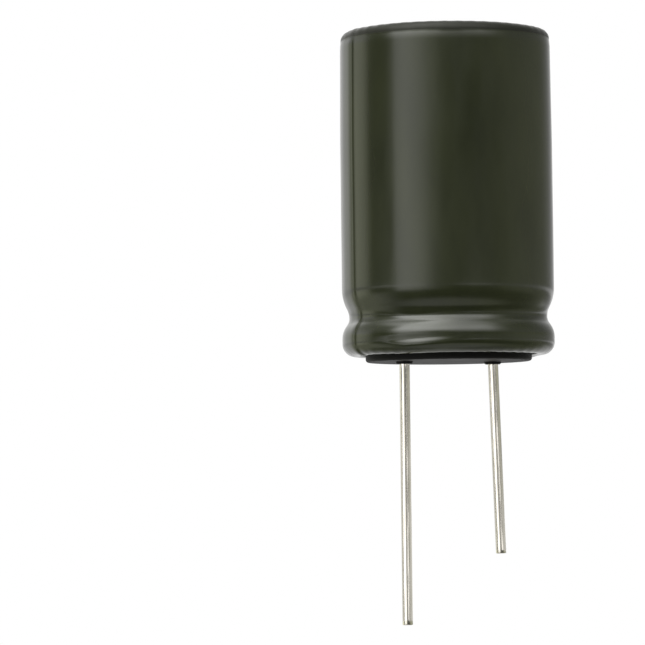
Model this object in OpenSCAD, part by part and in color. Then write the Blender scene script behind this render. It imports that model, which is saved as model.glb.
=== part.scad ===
// Radial-lead aluminium electrolytic capacitor, 16 mm case, 25 mm long.
// The seat face of the rubber bung lies on Z = 0, the case stands above it and the leads hang below.

/* [Case] */
// Outer diameter of the bare aluminium can at its foot
can_d = 16; // [14:0.1:22]
// How much smaller the can is across its closed end, from the drawing punch
can_taper = 0.16; // [0:0.02:0.4]
// Height of the can's closed end above the seat face
can_top = 25.27; // [22:0.01:42]
// Thickness of the can's side wall
can_wall = 0.35; // [0.25:0.05:0.4]
// Thickness of the can's closed end
can_end = 0.45; // [0.35:0.05:0.7]
// Outer radius of the can's closed corner
can_corner_r = 0.44; // [0.42:0.02:1]
// Length of can wall below the closed corner that carries the taper
taper_len = 8; // [4:0.5:12]

/* [Groove and curl] */
// Height of the rolled groove's centre above the seat face
groove_z = 3.41; // [3.35:0.01:3.8]
// Depth of the groove in the bare can
groove_depth = 0.75; // [0.6:0.01:0.9]
// Height of the groove's upper flank
groove_rise = 2.25; // [1.8:0.05:2.5]
// Height of the groove's lower flank
groove_fall = 1.6; // [1.4:0.05:1.8]
// Share of the upper flank that the round bottom takes
upper_share = 0.35; // [0.3:0.01:0.5]
// Share of the lower flank that the round bottom takes
lower_share = 0.42; // [0.35:0.01:0.5]
// Height of the curl's lowest point above the seat face
curl_z = 0.65; // [0.5:0.01:0.75]
// Outside radius of the curled mouth
curl_r = 0.77; // [0.65:0.01:0.85]
// How far the mouth is curled past its lowest point
curl_angle = 45; // [30:1:50]

/* [Pressure vent] */
// Length of each score line across the closed end
vent_len = 9; // [6:0.5:11]
// Depth of the score lines
vent_depth = 0.14; // [0.08:0.01:0.2]

/* [Sleeve] */
// Wall of the shrunk sleeve
sleeve_wall = 0.16; // [0.1:0.02:0.22]
// Diameter of the hole that the sleeve leaves on the closed end
sleeve_hole_d = 12.4; // [8:0.2:12.8]
// How far the sleeve stands off the bottom of the groove
sleeve_bridge = 0.2; // [0:0.01:0.3]
// How far the sleeve is turned in past the curl's lowest point
lip_angle = 24; // [0:1:30]
// Height of the two fold lines that the flat tube leaves
fold_h = 0.04; // [0.02:0.01:0.08]
// Width of a fold line
fold_w = 0.24; // [0.12:0.04:0.4]
// Direction of the first fold line; the second is opposite
fold_angle = 184; // [0:1:360]

/* [Bung] */
// Gap between the rubber boss and the curled mouth that it stands out of
boss_gap = 0.28; // [0.2:0.01:0.6]
// Radius of the boss's rounded edge
boss_round = 0.22; // [0.1:0.02:0.3]
// Height of the bung's straight shoulder above the groove
bung_shoulder = 0.2; // [0.1:0.05:1]
// Diameter of the raised ring round each lead
ring_d = 1.3; // [1.2:0.02:1.6]
// Height of the raised ring
ring_h = 0.2; // [0.1:0.02:0.3]
// Radius of the ring's rounded edge
ring_round = 0.14; // [0.06:0.01:0.16]

/* [Leads] */
// Distance between the two leads where they leave the bung
lead_pitch = 7.5; // [6:0.1:8.5]
// Diameter of the tinned wires
wire_d = 0.8; // [0.5:0.05:0.9]
// Length of the positive lead below the seat face
positive_len = 20.15; // [10:0.05:30]
// Length of the negative lead below the seat face
negative_len = 14.8; // [8:0.05:25]
// Outward lean of the negative lead
negative_lean = 1.9; // [0:0.1:4]
// How much thicker the tinned wire gets from its ring to its weld
wire_swell = 0.04; // [0.02:0.01:0.05]
// Diameter of the weld between wire and terminal
weld_d = 1.24; // [1:0.02:1.5]

/* [Terminals] */
// Diameter of the round aluminium shank in the bung
shank_d = 2.1; // [1.6:0.1:2.4]
// Thickness of the flattened blade
blade_t = 0.24; // [0.16:0.02:0.3]
// Number of facets of its foil that the rolled blade covers
blade_facets = 4; // [2:2:6]
// Length of blade between the foils
blade_len = 12; // [6:0.5:15]

/* [Winding] */
// Radius of the hole left by the winding mandrel
core_r = 1.5; // [1.2:0.1:2]
// Thickness of the etched anode foil
anode_t = 0.11; // [0.08:0.01:0.13]
// Thickness of the cathode foil
cathode_t = 0.05; // [0.03:0.01:0.06]
// Thickness of each paper separator
paper_t = 0.09; // [0.06:0.01:0.1]
// Width that the papers stand out past each edge of the foils
paper_margin = 1; // [0.5:0.1:1.5]
// Thickness of the closing tape
tape_t = 0.05; // [0.03:0.01:0.06]
// Space between the bung and the winding
lower_space = 1.3; // [1:0.1:2]
// Space between the winding and the closed end
upper_space = 0.6; // [0.4:0.1:1.5]

/* [Fits] */
// Gap between the sleeve and the can
sleeve_gap = 0.02; // [0.01:0.01:0.05]
// Gap between the bung and the can
bung_gap = 0.02; // [0.01:0.01:0.05]
// Gap round each wire in its ring
wire_gap = 0.05; // [0.03:0.01:0.08]
// Gap round each shank in the bung
shank_gap = 0.02; // [0.01:0.01:0.05]
// Gap between the layers of the winding
layer_gap = 0.01; // [0.005:0.005:0.02]
// Least gap between the winding and the can
winding_gap = 0.2; // [0.15:0.05:0.4]

/* [Hidden] */
$fn = 96;
arc_steps = 10;

can_r = can_d / 2;
can_top_r = can_r - can_taper / 2;
taper_z = can_top - can_corner_r - taper_len;
sleeve_in = sleeve_gap;
sleeve_out = sleeve_gap + sleeve_wall;
bung_out = -can_wall - bung_gap;
bung_h = groove_z + groove_rise + bung_shoulder;
fold_end = 8;

mouth_r = can_r - curl_r * (1 + sin(curl_angle));
boss_r = mouth_r - boss_gap;
lead_x = lead_pitch / 2;
lead_end_chamfer = 0.06;
weld_z = 0.55;
weld_h = 0.5;
swell_foot_z = -ring_h - 0.1;
shank_foot_z = weld_z + weld_h / 2;
shank_hole_foot_z = weld_z - weld_h / 2 - 0.1;
shank_top_z = bung_h + 0.25;

paper_z = bung_h + lower_space;
paper_w = can_top - can_end - upper_space - paper_z;
foil_z = paper_z + paper_margin;
foil_w = paper_w - 2 * paper_margin;
tape_z = foil_z + foil_w / 4;
tape_w = foil_w / 2;
blade_foot_z = paper_z - 0.2;
blade_h = foil_z + blade_len - blade_foot_z;
press_h = 0.05;
neck_d = shank_d - 0.1;

turn_pitch = 2 * paper_t + anode_t + cathode_t + 4 * layer_gap;
facets = 30;
facet = 360 / facets;
blade_room = blade_t + layer_gap;
blade_half = blade_facets / 2 * facet;
bump_flat = blade_half + facet;
bump_reach = bump_flat + 2 * facet;
inner_paper_at = 0;
anode_at = inner_paper_at + paper_t + layer_gap;
outer_paper_at = anode_at + anode_t + layer_gap;
cathode_at = outer_paper_at + paper_t + layer_gap;
// Turns at which each blade lies next to its own foil, one on each side of the mandrel.
positive_turn = floor((lead_x - core_r - anode_at) / turn_pitch - 0.5) + 0.5;
negative_turn = floor((lead_x - core_r - cathode_at - blade_room) / turn_pitch);
winding_room = can_r - can_taper / 2 - can_wall - winding_gap - blade_room - tape_t;
full_turns = floor((winding_room - core_r) / turn_pitch - 2);

// Points of an arc about [x, z], from angle a0 to angle a1.
function arc(x, z, r, a0, a1) =
    [for (i = [0:arc_steps]) let (a = a0 + (a1 - a0) * i / arc_steps) [x + r * cos(a), z + r * sin(a)]];

// One flank of the groove, from the straight wall to the bottom, moved outwards by out.
// Side is 1 for the upper flank and -1 for the lower one.
function flank(out, depth, reach, share, side) = let (
        meet = 2 * atan(depth / reach),
        both_r = reach / sin(meet),
        bottom_r = share * both_r,
        blend_r = both_r - bottom_r)
    concat(
        arc(can_r - blend_r, groove_z + side * reach, blend_r + out, 0, -side * meet),
        arc(can_r - depth + bottom_r, groove_z, bottom_r - out, 180 - side * meet, 180));

// The line that the can, the bung and the sleeve share, from the closed corner to the curl,
// moved outwards by out, with a groove of this depth and a mouth turned past its lowest point.
function case_line(out, depth, top, turned) = concat(
        arc(can_top_r - can_corner_r, top - can_corner_r - out, can_corner_r + out, 90, 0),
        [[can_r + out, taper_z]],
        flank(out, depth, groove_rise, upper_share, 1),
        reversed(flank(out, depth, groove_fall, lower_share, -1)),
        arc(can_r - curl_r, curl_z + curl_r, curl_r + out, 0, -90 - turned));

function reversed(points) = [for (i = [len(points) - 1:-1:0]) points[i]];

// The sleeve's line, moved outwards by out, from its closed shoulder to where it is turned in.
function sleeve_line(out, turned) = case_line(out, groove_depth - sleeve_bridge, can_top + out, turned);

// Heat-shrink sleeve with the two fold lines of the flat tube.
module sleeve() {
    wall = concat(
        [[sleeve_hole_d / 2, can_top + sleeve_out]],
        sleeve_line(sleeve_out, lip_angle),
        reversed(sleeve_line(sleeve_in, lip_angle)),
        [[sleeve_hole_d / 2, can_top + sleeve_in]]);
    fold = concat(
        sleeve_line(sleeve_out + fold_h, lip_angle - fold_end),
        reversed(sleeve_line(sleeve_out - sleeve_wall / 2, lip_angle - fold_end)));
    fold_turn = fold_w / (can_r + sleeve_out) * 180 / PI;
    color("darkolivegreen") union() {
        rotate_extrude() polygon(wall);
        for (side = [0, 180])
            rotate([0, 0, fold_angle + side - fold_turn / 2])
                rotate_extrude(angle = fold_turn) polygon(fold);
    }
}

// V-shaped score lines that let the closed end burst open.
module vent_scores() {
    side = vent_depth * sqrt(2);
    for (turn = [0, 90])
        rotate([0, 0, turn])
            translate([-vent_len / 2, 0, can_top])
                rotate([45, 0, 0])
                    translate([0, -side / 2, -side / 2])
                        cube([vent_len, side, side]);
}

// Extruded can with its rolled groove and its mouth curled into the bung.
module can() {
    outside = case_line(0, groove_depth, can_top, curl_angle);
    inside = case_line(-can_wall, groove_depth, can_top - can_end, curl_angle);
    wall = concat([[0, can_top]], outside, reversed(inside), [[0, can_top - can_end]]);
    color("silver") difference() {
        rotate_extrude() polygon(wall);
        vent_scores();
    }
}

// Rubber bung: squeezed at the groove, held by the curl, with a ring round each lead.
module bung() {
    held = [for (p = case_line(bung_out, groove_depth, can_top, curl_angle)) if (p[1] < bung_h) p];
    ledge_z = held[len(held) - 1][1];
    profile = concat(
        [[0, bung_h], [can_r + bung_out, bung_h]],
        held,
        [[boss_r, ledge_z]],
        arc(boss_r - boss_round, boss_round, boss_round, 0, -90),
        [[0, 0]]);
    ring = concat(
        [[0, boss_round], [ring_d / 2, boss_round]],
        arc(ring_d / 2 - ring_round, ring_round - ring_h, ring_round, 0, -90),
        [[0, -ring_h]]);
    color([0.11, 0.11, 0.11]) difference() {
        union() {
            rotate_extrude() polygon(profile);
            for (x = [-lead_x, lead_x])
                translate([x, 0, 0]) rotate_extrude() polygon(ring);
        }
        for (x = [-lead_x, lead_x])
            translate([x, 0, 0]) {
                translate([0, 0, -1]) cylinder(h = 2, d = wire_d + 2 * wire_gap);
                translate([0, 0, shank_hole_foot_z])
                    cylinder(h = bung_h, d = shank_d + 2 * shank_gap);
            }
    }
}

// Tinned wire that leans by an angle about its weld; the length is counted below the seat face.
module lead_wire(length, lean) {
    reach = (length + weld_z) / cos(lean);
    swell = weld_z - swell_foot_z;
    color("gainsboro") union() {
        translate([0, 0, weld_z - weld_h / 2])
            cylinder(h = weld_h, d1 = wire_d, d2 = weld_d);
        translate([0, 0, weld_z]) rotate([0, -lean, 0]) translate([0, 0, -reach]) {
            cylinder(h = lead_end_chamfer, d1 = wire_d - 2 * lead_end_chamfer, d2 = wire_d);
            translate([0, 0, lead_end_chamfer])
                cylinder(h = reach - swell - lead_end_chamfer, d = wire_d);
            translate([0, 0, reach - swell])
                cylinder(h = swell, d1 = wire_d, d2 = wire_d + wire_swell);
        }
    }
}

module positive_wire() {
    translate([-lead_x, 0, 0]) lead_wire(positive_len, 0);
}

module negative_wire() {
    translate([lead_x, 0, 0]) lead_wire(negative_len, negative_lean);
}

// Aluminium terminal: a round shank in the bung, pressed to a blade that rolls up with its foil.
module terminal(x) {
    color("lightsteelblue") union() {
        translate([x, 0, shank_foot_z]) cylinder(h = shank_top_z - shank_foot_z, d = shank_d);
        hull() {
            translate([x, 0, shank_top_z - press_h]) cylinder(h = press_h, d = neck_d, $fn = 32);
            translate([0, 0, blade_foot_z - press_h]) children(0);
        }
        translate([0, 0, blade_foot_z]) children(1);
    }
}

// The flat blade, as high as stated, that lies on the foil wound at the turn, from the depth at.
module blade(turn, at, after_positive, after_negative, height) {
    half = blade_half / 360;
    wound_strip(turn - half, turn + half, at, blade_t, after_positive, after_negative, 0, height);
}

module positive_blade(height) {
    blade(positive_turn, anode_at + anode_t + layer_gap, 360, 360, height);
}

module negative_blade(height) {
    blade(negative_turn, cathode_at + cathode_t + layer_gap, 0, 360, height);
}

module positive_terminal() {
    terminal(-lead_x) {
        positive_blade(press_h);
        positive_blade(blade_h);
    }
}

module negative_terminal() {
    terminal(lead_x) {
        negative_blade(press_h);
        negative_blade(blade_h);
    }
}

// Share of a blade's bulge at the wound angle a, for a layer that covers the blade from the angle at.
function bulge(a, at) = let (off = (a - at) % 360, d = min(abs(off), 360 - abs(off)))
    a < at - bump_reach ? 0 : min(1, max(0, (bump_reach - d) / (bump_reach - bump_flat)));

// Radius of a layer at the wound angle a. It bulges over each blade that lies inside it.
function layer_r(a, at, after_positive, after_negative) =
    core_r + turn_pitch * a / 360 + at
    + blade_room * bulge(a, 360 * positive_turn + after_positive)
    + blade_room * bulge(a, 360 * negative_turn + after_negative);

// One strip of the winding, between two counts of turns.
module wound_strip(from_turn, to_turn, at, t, after_positive, after_negative, z, w) {
    first = round(from_turn * facets);
    last = round(to_turn * facets);
    angles = [for (i = [first:last]) i * facet];
    inner = [for (a = angles) layer_r(a, at, after_positive, after_negative) * [cos(a), sin(a)]];
    outer = [for (a = angles) (layer_r(a, at, after_positive, after_negative) + t) * [cos(a), sin(a)]];
    translate([0, 0, z]) linear_extrude(height = w) polygon(concat(inner, reversed(outer)));
}

module anode_foil() {
    color("slategray") wound_strip(0.5, full_turns, anode_at, anode_t, 360, 360, foil_z, foil_w);
}

module cathode_foil() {
    color("lightgray") wound_strip(0.2, full_turns + 0.5, cathode_at, cathode_t, 0, 360, foil_z, foil_w);
}

module inner_separator() {
    color("wheat") wound_strip(0, full_turns + 1, inner_paper_at, paper_t, 360, 360, paper_z, paper_w);
}

module outer_separator() {
    color("burlywood") wound_strip(0, full_turns + 1, outer_paper_at, paper_t, 0, 360, paper_z, paper_w);
}

module closing_tape() {
    color("khaki") wound_strip(full_turns + 1, full_turns + 2, 0, tape_t, 360, 360, tape_z, tape_w);
}

sleeve();
can();
bung();
positive_wire();
negative_wire();
positive_terminal();
negative_terminal();
anode_foil();
cathode_foil();
inner_separator();
outer_separator();
closing_tape();
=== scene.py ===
"""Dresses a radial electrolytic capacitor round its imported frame.

Each piece is made in metres in the frame's own axes: Z runs up the can from the bung's seat face,
and X runs from the positive lead to the negative one.
"""
import math

import bmesh
import bpy
import numpy as np
from mathutils import Matrix, Vector


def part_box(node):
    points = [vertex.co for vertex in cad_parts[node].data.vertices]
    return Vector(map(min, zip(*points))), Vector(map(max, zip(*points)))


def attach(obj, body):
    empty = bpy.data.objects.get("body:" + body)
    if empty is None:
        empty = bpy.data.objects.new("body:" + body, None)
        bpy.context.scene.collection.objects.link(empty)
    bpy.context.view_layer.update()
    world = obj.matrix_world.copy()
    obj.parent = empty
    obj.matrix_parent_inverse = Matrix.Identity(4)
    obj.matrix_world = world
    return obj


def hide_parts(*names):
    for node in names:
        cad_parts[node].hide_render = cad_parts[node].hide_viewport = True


bl_info = {
    "name": "Radial capacitor dressing",
    "version": (1, 0, 0),
    "blender": (4, 5, 0),
    "location": "3D View > Sidebar > Capacitor",
    "description": "Adds the shrunk sleeve, leads, finishes and studio of a radial capacitor",
    "category": "Object",
}

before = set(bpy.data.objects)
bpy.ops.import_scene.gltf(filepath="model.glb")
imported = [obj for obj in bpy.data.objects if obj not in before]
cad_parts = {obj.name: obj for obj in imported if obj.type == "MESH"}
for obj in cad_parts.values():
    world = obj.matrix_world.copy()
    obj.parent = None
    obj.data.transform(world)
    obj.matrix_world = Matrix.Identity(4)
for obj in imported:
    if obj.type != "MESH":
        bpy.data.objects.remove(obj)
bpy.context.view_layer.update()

MM = 0.001
# Points closer than this are merged.
MERGE_DISTANCE = 0.0001 * MM
# A face lies square to the can's axis where its normal's Z is more than this.
SQUARE = 0.99999
BODY = "root"

SLEEVE_LOW, SLEEVE_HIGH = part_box("sleeve")
CAN_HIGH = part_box("can")[1]
POSITIVE_LOW, POSITIVE_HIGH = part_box("positive_wire")
NEGATIVE_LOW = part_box("negative_wire")[0]


def linear(code):
    """A colour written as sRGB hex, as the linear RGBA that shaders take."""
    channels = [int(code[i:i + 2], 16) / 255 for i in (1, 3, 5)]
    return tuple(c / 12.92 if c <= 0.04045 else ((c + 0.055) / 1.055) ** 2.4 for c in channels) + (1.0,)


WHITE = linear("#FFFFFF")


def in_mm(name, description, size, lowest=0.0):
    """A length, given in millimetres."""
    return bpy.props.FloatProperty(name=name, description=description, default=size * MM,
                                   min=lowest * MM, unit="LENGTH", precision=6)


def in_degrees(name, description, degrees):
    """An angle, given in degrees."""
    return bpy.props.FloatProperty(
        name=name, description=description, default=math.radians(degrees), subtype="ANGLE")


def as_share(name, description, share):
    """A part of a whole."""
    return bpy.props.FloatProperty(
        name=name, description=description, default=share, min=0.0, max=1.0, subtype="FACTOR")


def in_hex(name, description, code):
    """A colour, given as sRGB hex."""
    return bpy.props.FloatVectorProperty(
        name=name, description=description, default=linear(code)[:3], subtype="COLOR", size=3,
        min=0.0, max=1.0)


class SleeveSizes(bpy.types.PropertyGroup):
    """Sizes of the shrunk sleeve."""
    can_radius: in_mm("Can radius", "Outer radius of the bare can at its foot", CAN_HIGH.y / MM)
    taper: in_mm("Taper", "How much thinner the can is at its closed end", 0.08)
    taper_length: in_mm("Taper length", "Length of wall that carries the taper", 8)
    corner: in_mm("Corner radius", "Outer radius of the can's closed corner", 0.44)
    gap: in_mm("Gap", "Space between the can and the sleeve", 0.02)
    wall: in_mm("Wall", "Thickness of the shrunk film", 0.16)
    hole: in_mm("Hole radius", "Radius of the opening on the closed end", 6.2)
    groove_height: in_mm("Groove height", "Height of the groove's centre", 3.41)
    hollow: in_mm("Hollow", "Depth of the hollow that the film makes over the groove", 0.55)
    rise: in_mm("Upper flank", "Height of the groove's upper flank", 2.25)
    fall: in_mm("Lower flank", "Height of the groove's lower flank", 1.6)
    upper_share: as_share("Upper round share", "Part of the upper flank that is hollow", 0.35)
    lower_share: as_share("Lower round share", "Part of the lower flank that is hollow", 0.42)
    curl_height: in_mm("Curl height", "Height of the curl's lowest point", 0.65)
    curl: in_mm("Curl radius", "Outside radius of the curled mouth", 0.77)
    lip: in_degrees("Lip", "How far the film turns in past the curl's lowest point", 24)
    fold: in_degrees("Fold direction", "Direction of the first fold line", 184)
    fold_height: in_mm("Fold height", "How far a fold line stands out", 0.085)
    fold_width: in_mm("Fold width", "Half width of a fold line's steep side", 0.24)
    fold_back: in_mm("Fold back", "Half width of a fold line's flat side", 0.9)
    fold_fade: as_share("Fold fade", "How much of its height a fold line loses at the corner", 0.75)
    waist: in_mm("Waist", "How far the film draws in at its shoulder", 0.042)
    waist_length: in_mm("Waist length", "Length over which it comes out again", 0.64)
    waist_drop: in_mm("Waist drop", "How far under the can's corner the waist starts", 0.11)
    calm_turn: in_degrees("Calm direction", "Direction where the waist is shallow", 248.5)
    calm_reach: in_degrees("Calm reach", "Half of the turn over which it is shallow", 8)
    calm_drop: in_mm("Calm drop", "How much lower the waist starts there", 0.09)
    calm_share: as_share("Calm share", "How much of its depth the waist loses there", 0.35)
    haze_rise: in_mm("Haze rise", "Height over which the drawn film turns matt", 0.1)
    pinch: in_mm("Pinch", "Depth of the crease along the groove's bottom", 0.1)
    pinch_height: in_mm("Pinch height", "Height of that crease", 3.27)
    pinch_width: in_mm("Pinch width", "Height of that crease's upper side", 0.45)
    pinch_fall: in_mm("Pinch fall", "Height of that crease's lower side", 1.1)
    slack: in_mm("Slack", "How far a ripple of slack film stands out low on the bead", 0.115)
    slack_height: in_mm("Slack height", "Height of that ripple's crest", 0.9)
    slack_width: in_mm("Slack width", "Half width of that ripple", 0.45)
    slack_turn: in_degrees("Slack direction", "Direction of the ripple's middle", 226)
    slack_reach: in_degrees("Slack reach", "Half of the turn that the ripple covers", 16)
    slack_rise: in_mm("Slack rise", "How much the ripple climbs along its length", 0.15)
    slack_dip: in_mm("Slack dip", "Depth of the dip over the ripple", 0.07)
    slack_crease: in_mm("Slack crease", "How high over the ripple's crest the dip lies", 0.6)
    waviness: in_mm("Waviness", "Height of the slow waves left by shrinking", 0.022)
    wave_length: in_mm("Wave length", "Length of the slow waves round the can", 7)
    pucker: in_mm("Pucker", "Height of the fine puckers at the turned-in edges", 0.018)
    pucker_count: bpy.props.IntProperty(
        name="Puckers", description="How many puckers go round an edge", default=46, min=1)
    rim_reach: in_mm("Rim reach", "How far down from the closed end the puckers run", 0.9)
    lip_reach: in_mm("Lip reach", "How far up from the lip the puckers run", 0.7)
    seed: bpy.props.IntProperty(
        name="Seed", description="Picks the pattern of the waves and the puckers", default=3)


class LeadSizes(bpy.types.PropertyGroup):
    """Sizes of the wire leads."""
    radius: in_mm("Radius", "Radius of the tinned wire", 0.4)
    weld_radius: in_mm("Weld radius", "Radius of the weld inside the bung", 0.62)
    weld_top: in_mm("Weld top", "Height where the weld meets the terminal", POSITIVE_HIGH.z / MM)
    weld_length: in_mm("Weld length", "Length of the weld", 0.5)
    swell: in_mm("Swell", "How much the wire's radius grows up to its weld", 0.02)
    swell_foot: in_mm("Swell foot", "Height where the swell starts", -0.3, lowest=-1000)
    pitch: in_mm("Pitch", "Distance between the leads at the bung", 7.5)
    lean: in_degrees("Lean", "Outward lean of the negative lead", 1.9)
    cut_round: in_mm("Cut rounding", "Rounding that the cutter leaves at the tip", 0.06)
    sides: bpy.props.IntProperty(name="Sides", description="Flat faces round the wire", default=40, min=3)


class StudioSettings(bpy.types.PropertyGroup):
    """Camera and light."""
    azimuth: in_degrees("Azimuth", "Direction of the camera round the can", -25.2)
    distance: in_mm("Distance", "Distance from the camera to the can's axis", 290)
    height: in_mm("Height", "Height of the camera over the seat face", -10.3, lowest=-1000)
    aim_left: in_mm("Aim left", "How far left of the can's axis the camera aims", 9.7)
    aim_height: in_mm("Aim height", "Height that the camera aims at", 3.15)
    roll: in_degrees("Roll", "Turn of the camera about its line of sight", 0.66)
    lens: bpy.props.FloatProperty(name="Lens", description="Focal length", default=210.1, unit="CAMERA")
    lamp_aim: in_mm("Lamp aim", "Height of the point that the lamps face", 8)
    floor_height: in_mm("Floor height", "Height of the floor", -45, lowest=-1000)
    floor_radius: in_mm("Floor radius", "Radius of the floor", 120)
    floor_dark: in_hex("Floor, dark", "Darker tone of the white paper", "#E9E9E8")
    floor_light: in_hex("Floor, light", "Lighter tone of the white paper", "#EFEFEE")
    room_tint: in_hex("Room tint", "Faint olive that the room gives to reflections", "#FBFFDC")


class FinishColours(bpy.types.PropertyGroup):
    """Colours of the finishes."""
    film_dark: in_hex("Film, dark", "Darker tone of the olive film", "#242817")
    film_light: in_hex("Film, light", "Lighter tone of the olive film", "#2D311D")
    film_drawn: in_hex("Film, drawn", "Tone of the film where it is drawn thin", "#25261F")
    film_sheen: in_hex("Film sheen", "Tint of the matt sheen on the drawn film", "#969696")
    # Film edge: a paler tone painted on the film's cut edges, a painted highlight along the lip.
    edge_highlight: in_hex("Film edge", "Tone of the film's cut edge", "#5A5D52")
    aluminium: in_hex("Aluminium", "Bare drawn aluminium", "#CDCFD0")
    rubber: in_hex("Rubber", "Carbon-filled rubber", "#0F0F0E")
    tin: in_hex("Tin", "Bright tin plating", "#EDE8DD")
    anode: in_hex("Anode foil", "Etched and oxidised aluminium foil", "#8A8B89")
    cathode: in_hex("Cathode foil", "Etched aluminium foil", "#B4B5B4")
    paper: in_hex("Paper", "Soaked separator paper", "#C9B48A")
    tape: in_hex("Tape", "Closing tape", "#C79A4B")


class CapacitorSettings(bpy.types.PropertyGroup):
    """All settings of the capacitor."""
    sleeve: bpy.props.PointerProperty(type=SleeveSizes)
    leads: bpy.props.PointerProperty(type=LeadSizes)
    studio: bpy.props.PointerProperty(type=StudioSettings)
    colours: bpy.props.PointerProperty(type=FinishColours)


def rgba(colour, share=1.0):
    """A colour times a share, with full alpha."""
    return tuple(c * share for c in colour[:3]) + (1.0,)


def per_mm(size):
    """Texture scale that gives a pattern of this size in millimetres on Object coordinates."""
    return 1.0 / (size * MM)


def set_inputs(tree, node, inputs):
    """Gives each input its value, or links it to a socket or to another node's first live output."""
    for name, value in inputs.items():
        if isinstance(value, bpy.types.Node):
            value = next(output for output in value.outputs if output.enabled)
        if isinstance(value, bpy.types.NodeSocket):
            tree.links.new(value, node.inputs[name])
        else:
            node.inputs[name].default_value = value


def add_node(tree, kind, inputs=None, **settings):
    """Adds a node with its settings and its inputs."""
    node = tree.nodes.new(kind)
    for key, value in settings.items():
        setattr(node, key, value)
    set_inputs(tree, node, inputs or {})
    return node


def new_material(name):
    """A node material with only its shader and its output."""
    material = bpy.data.materials.new(name)
    material.use_nodes = True
    tree = material.node_tree
    tree.nodes.clear()
    shader = add_node(tree, "ShaderNodeBsdfPrincipled")
    add_node(tree, "ShaderNodeOutputMaterial", {"Surface": shader})
    return material, tree, shader


def noise(tree, size, stretch=(1, 1, 1), detail=2.0, roughness=0.5, distortion=0.0):
    """Noise of this size in millimetres, drawn out along each axis by its stretch."""
    place = add_node(tree, "ShaderNodeTexCoord").outputs["Object"]
    mapping = add_node(tree, "ShaderNodeMapping", {
        "Vector": place, "Scale": tuple(1.0 / s for s in stretch)})
    return add_node(tree, "ShaderNodeTexNoise", {
        "Vector": mapping, "Scale": per_mm(size), "Detail": detail,
        "Roughness": roughness, "Distortion": distortion})


def spread(tree, pattern, low, high, start=0.3, end=0.7):
    """A value that runs from low to high over a pattern's middle range."""
    return add_node(tree, "ShaderNodeMapRange", {
        "Value": pattern, "From Min": start, "From Max": end, "To Min": low, "To Max": high})


def mottled(tree, pattern, colour, low, high=1.0):
    """The colour times low where the pattern is 0, rising to the colour times high where it is 1."""
    return add_node(tree, "ShaderNodeMix", {
        "Factor": pattern, "A": rgba(colour, low), "B": rgba(colour, high)}, data_type="RGBA")


def relief(tree, *patterns):
    """The normal of a face that carries these patterns, each with its depth in millimetres."""
    normal = None
    for pattern, depth in patterns:
        inputs = {"Height": pattern, "Distance": depth * MM}
        if normal is not None:
            inputs["Normal"] = normal
        normal = add_node(tree, "ShaderNodeBump", inputs)
    return normal


def shrunk_film(colours):
    """Heat-shrunk PVC film: glossy, a little uneven, drawn lengthwise as it was blown, with a painted
    highlight on its cut edges.
    """
    material, tree, shader = new_material("heat_shrunk_pvc_film")
    # The cut edges take a paler tone here: a painted highlight along the lip and the rim of the hole.
    edge = add_node(tree, "ShaderNodeAttribute", attribute_name="cut_edge_highlight").outputs["Fac"]
    haze = add_node(tree, "ShaderNodeAttribute", attribute_name="haze").outputs["Fac"]
    cloud = noise(tree, 3.2, (1, 1, 2.5), detail=3)
    tone = add_node(tree, "ShaderNodeMix", {
        "Factor": spread(tree, cloud, 0, 1), "A": rgba(colours.film_dark), "B": rgba(colours.film_light)},
        data_type="RGBA")
    edge_highlighted = add_node(tree, "ShaderNodeMix", {
        "Factor": edge, "A": tone, "B": rgba(colours.edge_highlight)}, data_type="RGBA")
    drawn = add_node(tree, "ShaderNodeMix", {
        "Factor": haze, "A": edge_highlighted, "B": rgba(colours.film_drawn)}, data_type="RGBA")
    sheen = add_node(tree, "ShaderNodeMix", {
        "Factor": haze, "A": WHITE, "B": rgba(colours.film_sheen)}, data_type="RGBA")
    smear = noise(tree, 1.1, (1, 1, 6), detail=3)
    gloss = add_node(tree, "ShaderNodeMix", {
        "Factor": haze, "A": spread(tree, smear, 0.15, 0.21), "B": 0.4})
    peel = noise(tree, 0.5, (1, 1, 1.6), detail=2)
    lines = noise(tree, 0.35, (1, 1, 14), detail=2)
    set_inputs(tree, shader, {
        "Base Color": drawn, "Roughness": gloss, "Specular Tint": sheen, "IOR": 1.5,
        "Normal": relief(tree, (peel, 0.0012), (lines, 0.0009))})
    return material


def drawn_aluminium(colours):
    """Impact-extruded aluminium: bright, with fine draw lines and a few scuffs."""
    material, tree, shader = new_material("drawn_aluminium")
    # Real draw lines are finer; these are as coarse as they need to be to show.
    lines = noise(tree, 0.12, (1, 7, 1), detail=3)
    scuff = noise(tree, 1.6, detail=4, roughness=0.7)
    set_inputs(tree, shader, {
        "Base Color": mottled(tree, spread(tree, scuff, 0, 1), colours.aluminium, 0.82),
        "Metallic": 1.0, "Roughness": spread(tree, lines, 0.24, 0.38),
        "Normal": relief(tree, (lines, 0.0014), (scuff, 0.003))})
    return material


def moulded_rubber(colours):
    """Carbon-filled butyl rubber: near black, with the dull face that the mould leaves."""
    material, tree, shader = new_material("moulded_butyl_rubber")
    grain = noise(tree, 0.09, detail=3)
    bloom = noise(tree, 1.8, detail=4)
    set_inputs(tree, shader, {
        "Base Color": mottled(tree, spread(tree, bloom, 0, 1), colours.rubber, 1.0, 1.5),
        "Roughness": spread(tree, bloom, 0.52, 0.62), "Specular IOR Level": 0.14, "IOR": 1.5,
        "Normal": relief(tree, (grain, 0.004))})
    return material


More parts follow.
